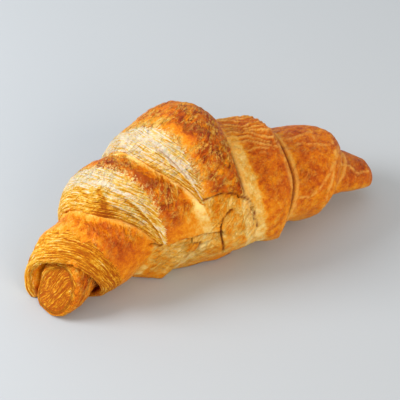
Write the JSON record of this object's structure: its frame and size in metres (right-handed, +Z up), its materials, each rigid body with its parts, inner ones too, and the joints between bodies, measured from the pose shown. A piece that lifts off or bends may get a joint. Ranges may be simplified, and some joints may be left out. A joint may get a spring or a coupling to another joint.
{
  "type": "croissant",
  "caption": "Baked butter croissant of rolled laminated dough, with overlapping wraps, an open curled tip and a pointed tip, lying on its flat underside.",
  "frame": {"origin": "middle of the bounding box at the underside, on the surface the croissant lies on", "axes": "+X along the roll, from the open curled tip to the pointed tip; both tips bend towards -Y; +Z up"},
  "size_m": [0.151, 0.0694, 0.0595],
  "materials": {
    "crust": "egg-washed golden-brown pastry crust, satin, with paler flaky layers at the cut edges"
  },
  "bodies": {
    "root": {"croissant": "crust"}
  },
  "joints": []
}
